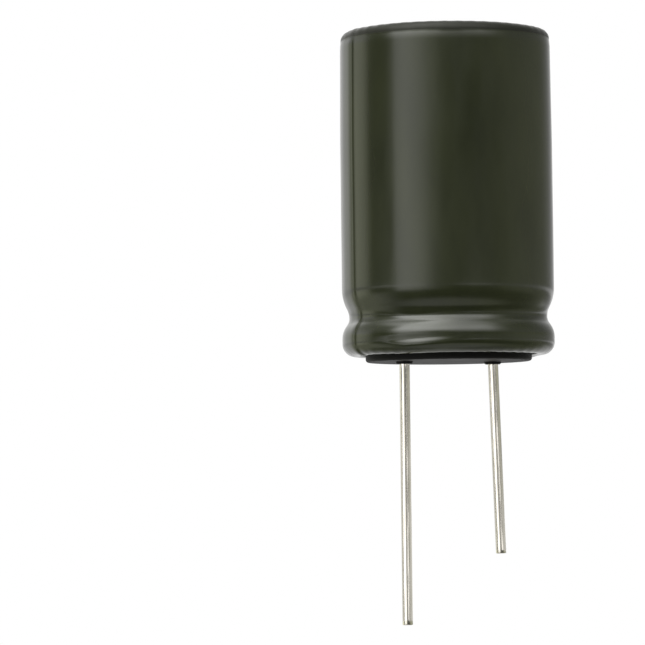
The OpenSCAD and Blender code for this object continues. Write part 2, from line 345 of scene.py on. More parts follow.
def tinned_wire(colours):
    """Bright tin over drawn steel wire: mirror-like, with die lines along it and a few pits."""
    material, tree, shader = new_material("bright_tinned_wire")
    # Real die lines and pits are finer; these are as coarse as they need to be to show.
    lines = noise(tree, 0.07, (1, 1, 60), detail=2)
    pits = noise(tree, 0.16, (1, 1, 1.5), detail=2)
    matt = noise(tree, 0.045, (1, 1, 60), detail=2)
    cloud = noise(tree, 0.8, (1, 1, 4), detail=3)
    set_inputs(tree, shader, {
        "Base Color": mottled(tree, spread(tree, cloud, 0, 1), colours.tin, 0.9),
        "Metallic": 1.0, "Roughness": spread(tree, matt, 0.07, 0.26, 0.38, 0.62),
        "Normal": relief(tree, (lines, 0.0013), (pits, 0.0005))})
    return material


def pressed_aluminium(colours):
    """Pressed aluminium: satin, with flow marks along the blade."""
    material, tree, shader = new_material("pressed_aluminium")
    flow = noise(tree, 0.2, (1, 1, 8), detail=3)
    set_inputs(tree, shader, {
        "Base Color": mottled(tree, flow, colours.aluminium, 0.75),
        "Metallic": 1.0, "Roughness": spread(tree, flow, 0.3, 0.45),
        "Normal": relief(tree, (flow, 0.003))})
    return material


def etched_foil(name, colour):
    """Tunnel-etched foil: matt grey metal that scatters light."""
    material, tree, shader = new_material(name)
    # Real etch tunnels are far too fine to see; these pits stand for them.
    pits = noise(tree, 0.06, detail=3)
    set_inputs(tree, shader, {
        "Base Color": mottled(tree, pits, colour, 0.7),
        "Metallic": 0.8, "Roughness": spread(tree, pits, 0.55, 0.75),
        "Normal": relief(tree, (pits, 0.003))})
    return material


def soaked_paper(colours):
    """Manila separator paper, darkened and a little shiny from the electrolyte."""
    material, tree, shader = new_material("soaked_separator_paper")
    # Real fibres are thinner; these are as coarse as they need to be to show.
    fibres = noise(tree, 0.12, (1, 1, 0.25), detail=4, distortion=1.5)
    set_inputs(tree, shader, {
        "Base Color": mottled(tree, spread(tree, fibres, 0, 1), colours.paper, 0.75),
        "Roughness": spread(tree, fibres, 0.5, 0.7), "Normal": relief(tree, (fibres, 0.006))})
    return material


def closing_film(colours):
    """Polypropylene tape: smooth amber, with faint stretch lines."""
    material, tree, shader = new_material("polypropylene_tape")
    lines = noise(tree, 0.3, (1, 1, 0.2), detail=2)
    set_inputs(tree, shader, {
        "Base Color": mottled(tree, lines, colours.tape, 0.85),
        "Roughness": spread(tree, lines, 0.2, 0.35), "IOR": 1.49,
        "Normal": relief(tree, (lines, 0.002))})
    return material


def add_object(name, data):
    """A new object in the scene."""
    added = bpy.data.objects.new(name, data)
    bpy.context.scene.collection.objects.link(added)
    return added


def dress_node(name, material):
    """Gives a CAD node's own object a material."""
    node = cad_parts[name]
    node.data.materials.clear()
    node.data.materials.append(material)


def shade_smooth(piece, sharp_from):
    """Smooth shading, with an edge kept sharp where its faces turn by more than so many degrees."""
    mesh = piece.data
    mesh.polygons.foreach_set("use_smooth", [True] * len(mesh.polygons))
    mesh.set_sharp_from_angle(angle=math.radians(sharp_from))
    mesh.update()


def keep_ends_flat(mesh):
    """Shades the faces that lie square to the axis flat, beside the small rounded ones."""
    for face in mesh.polygons:
        if abs(face.normal.z) > SQUARE:
            face.use_smooth = False
    mesh.update()


def smooth_copy(name, piece_name, material, sharp_from):
    """A merged and smoothly shaded copy of a CAD node, that stands for the node."""
    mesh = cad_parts[name].data.copy()
    mesh.name = piece_name
    build = bmesh.new()
    build.from_mesh(mesh)
    bmesh.ops.remove_doubles(build, verts=build.verts, dist=MERGE_DISTANCE)
    build.to_mesh(mesh)
    build.free()
    mesh.materials.clear()
    mesh.materials.append(material)
    piece = add_object(piece_name, mesh)
    shade_smooth(piece, sharp_from)
    keep_ends_flat(mesh)
    return piece


def place_piece(piece, slot, *nodes):
    """Ties a finished piece to the body and hides the nodes that it stands for; the slot is not used."""
    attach(piece, BODY)
    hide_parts(*nodes)


def arc(x, z, radius, start, end, steps):
    """Points of an arc about (x, z), the angles in degrees."""
    turn = np.radians(np.linspace(start, end, steps))
    return np.stack([x + radius * np.cos(turn), z + radius * np.sin(turn)], 1)


def straight(start, end, steps):
    """Points between two points, without the ends."""
    share = np.linspace(0, 1, steps + 2)[1:-1, None]
    return np.array(start) * (1 - share) + np.array(end) * share


def turn_from(angles, centre):
    """How far each angle lies from a direction, between minus and plus half a turn."""
    return np.remainder(angles - centre + math.pi, 2 * math.pi) - math.pi


def groove_flank(sizes, out, reach, share, side):
    """One flank of the groove, from the wall to the bottom; side is 1 above and -1 below."""
    meet = 2 * math.degrees(math.atan(sizes.hollow / reach))
    both = reach / math.sin(math.radians(meet))
    bottom = share * both
    blend = both - bottom
    return np.concatenate([
        arc(sizes.can_radius - blend, sizes.groove_height + side * reach, blend + out,
            0, -side * meet, steps=14),
        arc(sizes.can_radius - sizes.hollow + bottom, sizes.groove_height, bottom - out,
            180 - side * meet, 180, steps=10)[1:]])


# Rows of points on the film's turned-in rim and before its lip, over which its relief fades in.
RIM_ROWS = 8
LIP_ROWS = 6
# The rows stand closer down to this many waist lengths under the can's corner.
CLOSE_ROWS_REACH = 1.5


def film_line(sizes, out):
    """The film's line from the hole on the closed end to the lip, moved outwards by out."""
    top = CAN_HIGH.z
    wall_x = sizes.can_radius + out
    taper_z = top - sizes.corner - sizes.taper_length
    shoulder = arc(sizes.can_radius - sizes.taper - sizes.corner, top - sizes.corner,
                   sizes.corner + out, 90, 0, steps=14)
    corner_x, corner_z = shoulder[-1]
    neck_share = CLOSE_ROWS_REACH * sizes.waist_length / sizes.taper_length
    neck = (corner_x + (wall_x - corner_x) * neck_share, corner_z - sizes.taper_length * neck_share)
    upper = groove_flank(sizes, out, sizes.rise, sizes.upper_share, 1)
    lower = groove_flank(sizes, out, sizes.fall, sizes.lower_share, -1)[::-1][1:]
    foot = arc(sizes.can_radius - sizes.curl, sizes.curl_height + sizes.curl, sizes.curl + out,
               0, -90 - math.degrees(sizes.lip), steps=22)
    return np.concatenate([
        [(sizes.hole, top + out)], straight((sizes.hole, top + out), shoulder[0], steps=RIM_ROWS),
        shoulder, straight(shoulder[-1], neck, steps=9),
        [neck], straight(neck, (wall_x, taper_z), steps=14),
        [(wall_x, taper_z)], straight((wall_x, taper_z), upper[0], steps=22),
        upper, lower, straight(lower[-1], foot[0], steps=3), foot])


# Columns round the film, and across each fold line, where they reach this many widths of its flat side.
COLUMNS = 300
FOLD_COLUMNS = 61
FOLD_REACH = 2.2
# An even column this much past that reach, or farther, is kept.
FOLD_CLEARANCE = 1.02


def film_angles(sizes):
    """Directions of the mesh's columns: even, and closer beside the two fold lines."""
    even = np.linspace(0, 2 * math.pi, COLUMNS, endpoint=False)
    reach = FOLD_REACH * sizes.fold_back / sizes.can_radius
    folds = (sizes.fold, sizes.fold + math.pi)
    far = [a for a in even
           if all(abs(math.remainder(a - f, 2 * math.pi)) > reach * FOLD_CLEARANCE for f in folds)]
    near = [(f + d) % (2 * math.pi) for f in folds for d in np.linspace(-reach, reach, FOLD_COLUMNS)]
    return np.sort(np.array(far + near))


# Powers by which a crease's sides rise from its bottom: the higher one runs out more softly.
CREASE_POWER = 1.2
SOFT_POWER = 2


def film_creases(sizes, angles, heights):
    """The crease in the groove's bottom and the slack ripple low on the bead, both near one place."""
    along = turn_from(angles, sizes.slack_turn)[:, None] / sizes.slack_reach
    over_pinch = heights - sizes.pinch_height
    groove = np.where(over_pinch > 0,
                      np.clip(1 - over_pinch / sizes.pinch_width, 0, 1) ** CREASE_POWER,
                      np.clip(1 + over_pinch / sizes.pinch_fall, 0, 1) ** SOFT_POWER)
    over_crest = heights - (sizes.slack_height + sizes.slack_rise * along)
    ripple = np.exp(-(over_crest / sizes.slack_width) ** 2)
    from_dip = np.abs(over_crest - sizes.slack_crease)
    dip = np.clip(1 - from_dip / sizes.slack_width, 0, 1) ** CREASE_POWER
    return np.exp(-along ** 2) * (sizes.slack * ripple - sizes.pinch * groove - sizes.slack_dip * dip)


def film_relief(sizes, angles, heights):
    """How far the fold lines and creases stand out, by column and row."""
    offset = np.array([math.remainder(a - sizes.fold, math.pi) for a in angles]) * sizes.can_radius
    width = np.where(offset > 0, sizes.fold_width, sizes.fold_back)
    ridge = sizes.fold_height * np.exp(-(offset / width) ** 2)
    over_corner = np.clip((heights - (CAN_HIGH.z - sizes.corner)) / sizes.corner + 1, 0, 1)
    return ridge[:, None] * (1 - sizes.fold_fade * over_corner) + film_creases(sizes, angles, heights)


def store_values(mesh, name, values):
    """Keeps a number for each point of a mesh, for its material or its node tree."""
    attribute = mesh.attributes.new(name, "FLOAT", "POINT")
    attribute.data.foreach_set("value", np.asarray(values, np.float32).ravel())


# How much of the painted edge highlight shows where the film ends on the closed end.
RIM_EDGE_HIGHLIGHT = 0.6
# The film's inner face takes every third point of its line.
INNER_STEP = 3


def film_mesh(sizes):
    """The film as a closed wall, turned from its outer and inner lines."""
    outer = film_line(sizes, sizes.gap + sizes.wall)
    loop = np.concatenate([outer, film_line(sizes, sizes.gap)[::INNER_STEP][::-1]])
    across, up = loop.T
    angles = film_angles(sizes)
    rows, columns = len(loop), len(angles)
    from_lip = np.maximum(len(outer) - 1 - np.arange(rows), 0)
    fade = (np.minimum(np.arange(rows), RIM_ROWS) / RIM_ROWS) * (np.minimum(from_lip, LIP_ROWS) / LIP_ROWS)
    along = np.gradient(outer, axis=0)
    along /= np.linalg.norm(along, axis=1)[:, None]
    # The inner face has no relief, so its normals stay zero.
    normal = np.zeros((rows, 2))
    normal[:len(outer)] = np.stack([-along[:, 1], along[:, 0]], 1)
    calm = np.exp(-(turn_from(angles, sizes.calm_turn) / sizes.calm_reach) ** 2)[:, None]
    over_waist = up - (CAN_HIGH.z - sizes.corner - sizes.waist_drop - sizes.calm_drop * calm)
    drawn_in = np.clip(over_waist / sizes.waist_length + 1, 0, 1) ** 2 * (1 - sizes.calm_share * calm)
    shift = film_relief(sizes, angles, up) * fade
    radius = across + (shift - sizes.waist * drawn_in) * normal[:, 0]
    height = up + shift * normal[:, 1]
    points = np.stack([radius * np.cos(angles)[:, None], radius * np.sin(angles)[:, None], height], 2)
    column, row = np.indices((columns, rows))
    after, below = (column + 1) % columns, (row + 1) % rows
    faces = np.stack([column * rows + row, column * rows + below,
                      after * rows + below, after * rows + row], 2)
    mesh = bpy.data.meshes.new("shrunk_sleeve")
    mesh.from_pydata(points.reshape(-1, 3).tolist(), [], faces.reshape(-1, 4).tolist())
    # Marks the cut edges at the lip and at the hole, where the painted edge highlight goes.
    cut = np.zeros((columns, rows))
    cut[:, [len(outer) - 1, len(outer)]] = 1.0
    cut[:, [0, rows - 1]] = RIM_EDGE_HIGHLIGHT
    store_values(mesh, "cut_edge_highlight", cut)
    store_values(mesh, "haze", np.clip(over_waist / sizes.haze_rise, 0, 1))
    store_values(mesh, "outside", np.broadcast_to(fade, (columns, rows)))
    mesh.validate()
    return mesh


def new_tree(name, inputs):
    """A geometry node tree with a geometry input and these inputs, and the sockets that bring them."""
    tree = bpy.data.node_groups.new(name, "GeometryNodeTree")
    for label, kind in {"Geometry": "Geometry", **inputs}.items():
        tree.interface.new_socket(label, in_out="INPUT", socket_type="NodeSocket" + kind)
    tree.interface.new_socket("Geometry", in_out="OUTPUT", socket_type="NodeSocketGeometry")
    return tree, add_node(tree, "NodeGroupInput").outputs


def end_tree(tree, geometry, material):
    """Ends a tree with real geometry in its material."""
    real = add_node(tree, "GeometryNodeRealizeInstances", {0: geometry})
    finished = add_node(tree, "GeometryNodeSetMaterial", {"Geometry": real, "Material": material})
    add_node(tree, "NodeGroupOutput", {"Geometry": finished})


# The slow waves read their place at these scales, so they are longer up the can than round it.
WAVE_SCALES = (1, 1, 0.55)
# The puckers' strength changes over patches of this many millimetres, whose seed is this much higher.
PATCH_SIZE = 3.0
PATCH_SEED = 7.0


def shrink_tree():
    """A node tree that gives the film the slow waves and the puckers of shrinking."""
    floats = ("Wave height", "Wave length", "Pucker height", "Pucker count",
              "Rim start", "Rim end", "Lip start", "Lip end", "Seed")
    tree, given = new_tree("shrink_relief", {**dict.fromkeys(floats, "Float"), "Material": "Material"})
    place = add_node(tree, "GeometryNodeInputPosition")
    parts = add_node(tree, "ShaderNodeSeparateXYZ", {0: place}).outputs
    drawn = add_node(tree, "ShaderNodeVectorMath", {0: place, 1: WAVE_SCALES}, operation="MULTIPLY")
    scale = add_node(tree, "ShaderNodeMath", {0: 1.0, 1: given["Wave length"]}, operation="DIVIDE")
    wave = add_node(tree, "ShaderNodeTexNoise", {
        "Vector": drawn, "W": given["Seed"], "Scale": scale, "Detail": 1.0}, noise_dimensions="4D")
    waves = add_node(tree, "ShaderNodeMapRange", {
        "Value": wave, "From Min": 0.5, "From Max": 1.0, "To Min": 0.0, "To Max": given["Wave height"]},
        clamp=False)
    turn = add_node(tree, "ShaderNodeMath", {0: parts["Y"], 1: parts["X"]}, operation="ARCTAN2")
    phase = add_node(tree, "ShaderNodeMath", {0: turn, 1: given["Pucker count"]}, operation="MULTIPLY")
    ripple = add_node(tree, "ShaderNodeMath", {0: phase}, operation="SINE")
    patch_seed = add_node(tree, "ShaderNodeMath", {0: given["Seed"], 1: PATCH_SEED}, operation="ADD")
    patches = add_node(tree, "ShaderNodeTexNoise", {
        "Vector": place, "W": patch_seed, "Scale": per_mm(PATCH_SIZE), "Detail": 0.0},
        noise_dimensions="4D")
    puckers = add_node(tree, "ShaderNodeMath", {0: ripple, 1: patches}, operation="MULTIPLY")
    at_rim, at_lip = (add_node(tree, "ShaderNodeMapRange", {
        "Value": parts["Z"], "From Min": given[edge + " start"], "From Max": given[edge + " end"],
        "To Min": 0.0, "To Max": given["Pucker height"]}) for edge in ("Rim", "Lip"))
    edges = add_node(tree, "ShaderNodeMath", {0: at_rim, 1: at_lip}, operation="ADD")
    raised = add_node(tree, "ShaderNodeMath", {0: puckers, 1: edges, 2: waves}, operation="MULTIPLY_ADD")
    outside = add_node(tree, "GeometryNodeInputNamedAttribute", {"Name": "outside"})
    push = add_node(tree, "ShaderNodeMath", {0: raised, 1: outside}, operation="MULTIPLY")
    normal = add_node(tree, "GeometryNodeInputNormal")
    offset = add_node(tree, "ShaderNodeVectorMath", {0: normal, "Scale": push}, operation="SCALE")
    moved = add_node(tree, "GeometryNodeSetPosition", {"Geometry": given["Geometry"], "Offset": offset})
    end_tree(tree, moved, given["Material"])
    return tree


def apply_tree(piece, tree, values):
    """Runs a node tree on a piece with these named inputs and keeps the plain mesh that comes out."""
    modifier = piece.modifiers.new(tree.name, "NODES")
    modifier.node_group = tree
    for item in tree.interface.items_tree:
        if item.in_out == "INPUT" and item.name in values:
            modifier[item.identifier] = values[item.name]
    bpy.context.view_layer.update()
    evaluated = piece.evaluated_get(bpy.context.evaluated_depsgraph_get())
    mesh = bpy.data.meshes.new_from_object(evaluated)
    mesh.name = piece.name
    piece.modifiers.remove(modifier)
    piece.data = mesh


def wire_tree():
    """A node tree that turns a wire's own line, with its radius, into a round closed wire."""
    tree, given = new_tree("drawn_wire", {"Sides": "Int", "Material": "Material"})
    line = add_node(tree, "GeometryNodeMeshToCurve", {"Mesh": given["Geometry"]})
    width = add_node(tree, "GeometryNodeInputNamedAttribute", {"Name": "wire_radius"})
    ring = add_node(tree, "GeometryNodeCurvePrimitiveCircle", {
        "Resolution": given["Sides"], "Radius": 1.0})
    wire = add_node(tree, "GeometryNodeCurveToMesh", {
        "Curve": line, "Profile Curve": ring, "Scale": width, "Fill Caps": True})
    end_tree(tree, wire, given["Material"])
    return tree


# Where a wire's stations stand, as shares of its weld, its swell and its rounded cut, and how many
# the straight wire has.
WELD_SHARES = (0.25, 0.5, 0.75)
SWELL_SHARE = 0.4
CUT_SHARES = (0.35, 0.7, 1.0)
STRAIGHT_STATIONS = 60


def wire_line(sizes, x, tip_z, lean):
    """Points and radii down one lead: the weld, the swell, the straight wire and the rounded cut."""
    hinge = Vector((x, 0, sizes.weld_top - sizes.weld_length / 2))
    down = Vector((math.sin(lean), 0, -math.cos(lean)))
    swell_length = hinge.z - sizes.swell_foot
    straight_length = (hinge.z - tip_z) / math.cos(lean) - sizes.cut_round
    thick = sizes.radius + sizes.swell
    stations = [(Vector((x, 0, sizes.weld_top)), sizes.weld_radius)]
    for share in WELD_SHARES:
        narrowing = math.cos(share * math.pi / 2)
        stations.append((Vector((x, 0, sizes.weld_top - share * sizes.weld_length)),
                         thick + (sizes.weld_radius - thick) * narrowing))
    stations.append((hinge + down * (SWELL_SHARE * swell_length),
                     sizes.radius + (1 - SWELL_SHARE) * sizes.swell))
    for share in np.linspace(swell_length / straight_length, 1, STRAIGHT_STATIONS):
        stations.append((hinge + down * (straight_length * float(share)), sizes.radius))
    for share in CUT_SHARES:
        inset = sizes.cut_round * (1 - math.sqrt(1 - share * share))
        stations.append((hinge + down * (straight_length + sizes.cut_round * share),
                         sizes.radius - inset))
    return stations


def make_wire(name, node, stations, material, tree, sides):
    """A wire from its stations, standing for its CAD node."""
    mesh = bpy.data.meshes.new(name)
    links = [(i, i + 1) for i in range(len(stations) - 1)]
    mesh.from_pydata([tuple(point) for point, _ in stations], links, [])
    store_values(mesh, "wire_radius", [radius for _, radius in stations])
    piece = add_object(name, mesh)
    apply_tree(piece, tree, {"Sides": sides, "Material": material})
    build = bmesh.new()
    build.from_mesh(piece.data)
    bmesh.ops.recalc_face_normals(build, faces=build.faces)
    build.to_mesh(piece.data)
    build.free()
    shade_smooth(piece, sharp_from=40)
    place_piece(piece, "tinned_wire", node)


def world_direction(azimuth, bearing, elevation):
    """Unit vector to a light, its bearing counted from the camera to the right, in degrees."""
    turn = azimuth + math.radians(bearing)
    rise = math.radians(elevation)
    return Vector((math.sin(turn) * math.cos(rise), -math.cos(turn) * math.cos(rise), math.sin(rise)))


def add_softbox(name, studio, bearing, elevation, distance, width, height, radiance, colour):
    """An area lamp that faces the can; radiance is how bright its panel looks, 1 being white."""
    lamp = bpy.data.lights.new(name, "AREA")
    lamp.shape = "RECTANGLE"
    lamp.size = width
    lamp.size_y = height
    lamp.color = linear(colour)[:3]
    lamp.energy = radiance * math.pi * width * height
    light = add_object(name, lamp)
    direction = world_direction(studio.azimuth, bearing, elevation)
    light.location = direction * distance + Vector((0, 0, studio.lamp_aim))
    light.rotation_euler = direction.to_track_quat("Z", "Y").to_euler()
    light.visible_camera = False
    light.visible_glossy = False


# Brightness that glossy surfaces see, by bearing from the camera in degrees, counted to the right.
# Level with the can stand a tall panel on the left, a dark room and, behind, the white background.
EYE_LEVEL = (
    (-180, 1.0), (-156, 1.0), (-146, 0.92), (-138, 0.78), (-130, 0.58), (-126, 0.5), (-121, 1.15),
    (-104, 1.25), (-97, 0.85), (-90, 0.2), (-77, 0.1), (-67, 0.16), (-61, 0.25),
    (-56, 1.6), (-46, 1.9), (-37, 1.7), (-26, 1.2), (-16, 0.6), (-6, 0.25), (6, 0.1), (34, 0.07),
    (54, 0.2), (76, 0.42), (100, 0.4), (128, 0.31), (147, 0.38), (160, 0.6), (172, 1.0), (180, 1.0))
# Above it hangs the wide softbox, which fades towards the right.
OVERHEAD = (
    (-180, 1.8), (-150, 1.8), (-124, 0.6), (-95, 0.5), (-76, 0.7), (-70, 1.2), (-60, 6.4),
    (-42, 6.6), (-20, 5.8), (0, 4.5), (20, 3.6), (35, 3.6), (48, 3.2), (60, 1.4), (74, 0.35),
    (104, 0.2), (130, 0.3), (150, 0.7), (180, 1.8))
# Nearly straight up it fades towards the right as well.
ZENITH = (
    (-180, 1.2), (-125, 0.5), (-98, 2.2), (-76, 3.6), (-60, 6.0), (-24, 5.6), (-10, 4.4),
    (12, 3.4), (30, 2.8), (44, 2.5), (60, 1.9), (76, 0.8), (104, 0.5), (140, 1.0), (180, 1.2))
# In a narrow band about the level, the panel on the left is wider and a white card stands on the right.
TABLE_LEVEL = (
    (-180, 1.0), (-150, 0.8), (-128, 0.45), (-104, 0.4), (-88, 0.7), (-72, 1.6), (-57, 2.3),
    (-30, 2.3), (-20, 1.0), (-12, 0.45), (2, 0.38), (12, 0.8), (24, 1.5), (32, 1.6), (42, 1.2),
    (56, 0.7), (74, 0.6), (90, 0.7), (118, 0.8), (150, 1.0), (180, 1.0))
# Under the leads lies the table: bright behind and on the left, dark in front and on the right.
UNDER_LEVEL = (
    (-180, 0.9), (-140, 0.7), (-120, 0.65), (-100, 0.85), (-86, 0.85), (-74, 0.55), (-62, 0.2),
    (-50, 0.05), (46, 0.05), (66, 0.08), (84, 0.12), (108, 0.2), (132, 0.38), (152, 0.7), (180, 0.9))
# Nearly straight down it is dimmest at both sides.
FLOOR_LEVEL = (
    (-180, 0.8), (-130, 0.32), (-104, 0.26), (-84, 0.36), (-62, 0.55), (-40, 0.7), (40, 0.7),
    (62, 0.6), (84, 0.35), (120, 0.28), (150, 0.5), (180, 0.8))
# Brightnesses are held in a ramp as shares of this one.
BRIGHTEST = 8.0
# How much of the room's olive tint the level bands carry, by bearing.
ROOM_TINT = (
    (-180, 0.0), (-150, 0.0), (-128, 0.75), (-98, 0.75), (-75, 0.375), (-60, 0.125), (-20, 0.125),
    (10, 0.5), (60, 0.8125), (120, 0.8125), (150, 0.0))
# The elevations in degrees over which the floor gives way to what lies under the leads.
FLOOR_EDGE = (-43, -31)
# The bands over it, each with the elevations over which it takes over from the one below.
ROOM_BANDS = (
    ((-17, -9), EYE_LEVEL), ((-3.2, -2.2), TABLE_LEVEL), ((0.4, 1.2), EYE_LEVEL),
    ((7, 34), OVERHEAD), ((36, 56), ZENITH))
# Behind the can the floor runs up into the white background: its two brightnesses, the elevations
# between them, and how squarely behind a direction starts and ends to count.
BACK_FLOOR = 0.4
BACK_WALL = 0.9
BACK_EDGE = (-50, -25)
BACK_START = 0.6
BACK_END = 0.95
# The tint starts over the floor, leaves out the leads' height and ends under the softbox.
TINT_FOOT = (-60, -48)
TINT_UNDER_TABLE = (-3, -4)
TINT_OVER_TABLE = (1.4, 2.4)
TINT_TOP = (12, 7)
# Brightness of the room for the rays that are neither seen nor glossy.
ROOM_FILL = 0.55


def band_ramp(tree, share, bands, brightest=BRIGHTEST):
    """A brightness by bearing; share is the bearing as a part of the full turn."""
    ramp = add_node(tree, "ShaderNodeValToRGB", {"Fac": share})
    points = ramp.color_ramp.elements
    while len(points) < len(bands):
        points.new(0.5)
    for point, (bearing, level) in zip(points, bands):
        point.position = (bearing + 180) / 360
        point.color = rgba((level, level, level), 1 / brightest)
    return add_node(tree, "ShaderNodeMath", {0: ramp, 1: brightest}, operation="MULTIPLY")


def above(tree, height, edge):
    """Runs smoothly from 0 at an edge's first elevation to 1 at its second; height is a direction's Z."""
    start, end = (math.sin(math.radians(elevation)) for elevation in edge)
    return add_node(tree, "ShaderNodeMapRange", {
        "Value": height, "From Min": start, "From Max": end}, interpolation_type="SMOOTHSTEP")


def stacked(tree, height, edge, lower, upper):
    """One brightness under an edge and another over it."""
    return add_node(tree, "ShaderNodeMix", {
        "Factor": above(tree, height, edge), "A": lower, "B": upper})


def room_bands(tree, share, height, back):
    """The room that glossy rays see, stacked from the floor up."""
    front = stacked(tree, height, FLOOR_EDGE,
                    band_ramp(tree, share, FLOOR_LEVEL), band_ramp(tree, share, UNDER_LEVEL))
    behind = stacked(tree, height, BACK_EDGE, BACK_FLOOR, BACK_WALL)
    room = add_node(tree, "ShaderNodeMix", {"Factor": back, "A": front, "B": behind})
    for edge, bands in ROOM_BANDS:
        room = stacked(tree, height, edge, room, band_ramp(tree, share, bands))
    return room


def room_warmth(tree, share, height, is_glossy):
    """How much of the olive tint a ray gets."""
    under_table = add_node(tree, "ShaderNodeMath", {
        0: above(tree, height, TINT_UNDER_TABLE), 1: above(tree, height, TINT_FOOT)}, operation="MINIMUM")
    off_table = add_node(tree, "ShaderNodeMath", {
        0: above(tree, height, TINT_OVER_TABLE), 1: under_table}, operation="MAXIMUM")
    tinted = add_node(tree, "ShaderNodeMath", {
        0: band_ramp(tree, share, ROOM_TINT, brightest=1.0), 1: off_table}, operation="MULTIPLY")
    seen = add_node(tree, "ShaderNodeMath", {
        0: is_glossy, 1: above(tree, height, TINT_TOP)}, operation="MULTIPLY")
    return add_node(tree, "ShaderNodeMath", {0: tinted, 1: seen}, operation="MULTIPLY")


def make_world(studio):
    """White for camera and transmission rays, the room for glossy rays, a soft fill for the rest."""
    world = bpy.data.worlds.new("studio")
    bpy.context.scene.world = world
    world.use_nodes = True
    tree = world.node_tree
    tree.nodes.clear()
    place = add_node(tree, "ShaderNodeTexCoord").outputs["Generated"]
    turned = add_node(tree, "ShaderNodeMapping", {"Vector": place, "Rotation": (0, 0, -studio.azimuth)})
    parts = add_node(tree, "ShaderNodeSeparateXYZ", {0: turned}).outputs
    ahead = add_node(tree, "ShaderNodeMath", {0: parts["Y"], 1: -1.0}, operation="MULTIPLY")
    bearing = add_node(tree, "ShaderNodeMath", {0: parts["X"], 1: ahead}, operation="ARCTAN2")
    share = add_node(tree, "ShaderNodeMapRange", {
        "Value": bearing, "From Min": -math.pi, "From Max": math.pi})
    back = add_node(tree, "ShaderNodeMapRange", {
        "Value": parts["Y"], "From Min": BACK_START, "From Max": BACK_END})
    path = add_node(tree, "ShaderNodeLightPath").outputs
    room = room_bands(tree, share, parts["Z"], back)
    lit = add_node(tree, "ShaderNodeMix", {
        "Factor": path["Is Glossy Ray"], "A": ROOM_FILL, "B": room})
    seen = add_node(tree, "ShaderNodeMath", {
        0: path["Is Camera Ray"], 1: path["Is Transmission Ray"]}, operation="MAXIMUM")
    strength = add_node(tree, "ShaderNodeMix", {"Factor": seen, "A": lit, "B": 1.0})
    colour = add_node(tree, "ShaderNodeMix", {
        "Factor": room_warmth(tree, share, parts["Z"], path["Is Glossy Ray"]),
        "A": WHITE, "B": rgba(studio.room_tint)}, data_type="RGBA")
    background = add_node(tree, "ShaderNodeBackground", {"Color": colour, "Strength": strength})
    add_node(tree, "ShaderNodeOutputWorld", {"Surface": background})


# The paper's own faint glow, for the rays that see it, and where the paper fades out, as shares of
# its radius.
PAPER_GLOW = 0.22
FADE_START = 0.3
FADE_END = 0.98


def floor_material(studio):
    """Matt white paper that fades into the white background at its rim."""
    material, tree, shader = new_material("white_paper_sweep")
    fibres = noise(tree, 0.8, detail=4)
    tone = add_node(tree, "ShaderNodeMix", {
        "Factor": fibres, "A": rgba(studio.floor_dark), "B": rgba(studio.floor_light)}, data_type="RGBA")
    path = add_node(tree, "ShaderNodeLightPath").outputs
    seen = add_node(tree, "ShaderNodeMath", {
        0: path["Is Camera Ray"], 1: path["Is Glossy Ray"]}, operation="MAXIMUM")
    shown = add_node(tree, "ShaderNodeMath", {0: seen, 1: path["Is Transmission Ray"]}, operation="MAXIMUM")
    glow = add_node(tree, "ShaderNodeMath", {0: shown, 1: PAPER_GLOW}, operation="MULTIPLY")
    set_inputs(tree, shader, {
        "Base Color": tone, "Roughness": 0.9, "Specular IOR Level": 0.1,
        "Emission Color": WHITE, "Emission Strength": glow})
    place = add_node(tree, "ShaderNodeTexCoord").outputs["Object"]
    reach = add_node(tree, "ShaderNodeVectorMath", {0: place}, operation="LENGTH")
    rim = add_node(tree, "ShaderNodeMapRange", {
        "Value": reach, "From Min": studio.floor_radius * FADE_START,
        "From Max": studio.floor_radius * FADE_END}, interpolation_type="SMOOTHSTEP")
    under = add_node(tree, "ShaderNodeNewGeometry").outputs["Backfacing"]
    hidden = add_node(tree, "ShaderNodeMath", {0: rim, 1: under}, operation="MAXIMUM")
    clear = add_node(tree, "ShaderNodeBsdfTransparent")
    mixed = add_node(tree, "ShaderNodeMixShader", {0: hidden, 1: shader, 2: clear})
    output = next(node for node in tree.nodes if node.type == "OUTPUT_MATERIAL")
    set_inputs(tree, output, {"Surface": mixed})
    return material


def make_floor(studio):
    """A round sheet of white paper under the leads."""
    build = bmesh.new()
    bmesh.ops.create_circle(build, cap_ends=True, radius=studio.floor_radius, segments=96,
                            matrix=Matrix.Translation((0, 0, studio.floor_height)))
    mesh = bpy.data.meshes.new("paper_floor")
    build.to_mesh(mesh)
    build.free()
    mesh.materials.append(floor_material(studio))
    floor = add_object("paper_floor", mesh)
    floor.visible_glossy = False


def make_camera(studio):
    """The photograph's view: a long lens a little below the bung, looking slightly up."""
    lens = bpy.data.cameras.new("camera")
    lens.lens = studio.lens
    lens.clip_start = 0.01
    lens.clip_end = 10
    camera = add_object("camera", lens)
    back = world_direction(studio.azimuth, 0, 0)
    right = Vector((math.cos(studio.azimuth), math.sin(studio.azimuth), 0))
    camera.location = back * studio.distance + Vector((0, 0, studio.height))
    aim = Vector((0, 0, studio.aim_height)) - right * studio.aim_left
    look = (aim - camera.location).to_track_quat("-Z", "Y").to_matrix()
    camera.rotation_euler = (look @ Matrix.Rotation(-studio.roll, 3, "Z")).to_euler()
    bpy.context.scene.camera = camera


